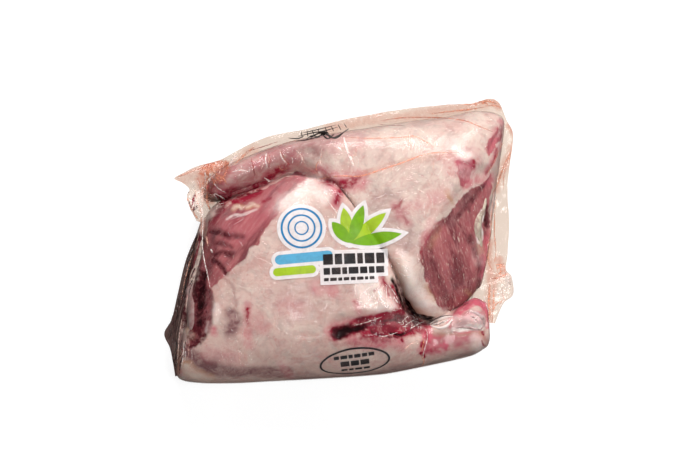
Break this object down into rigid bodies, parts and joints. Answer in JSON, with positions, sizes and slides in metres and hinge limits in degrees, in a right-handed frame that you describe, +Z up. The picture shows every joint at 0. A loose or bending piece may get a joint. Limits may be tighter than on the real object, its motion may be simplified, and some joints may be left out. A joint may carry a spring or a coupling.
{
  "type": "packed raw hind shank",
  "caption": "Raw bone-in hind shanks laid head to tail and vacuum packed in a clear shrink bag with a loose film edge.",
  "frame": {"origin": "middle of the bag's footprint, on the surface that it rests on", "axes": "+X along the pack's length, +Y across it towards the shank with its broad end at +X, +Z up"},
  "size_m": [0.217, 0.1777, 0.062],
  "materials": {
    "packed_meat": "clear glossy film drawn tight over pale fat and dark pink muscle"
  },
  "bodies": {
    "root": {"sealed_bag": "packed_meat"}
  },
  "joints": []
}
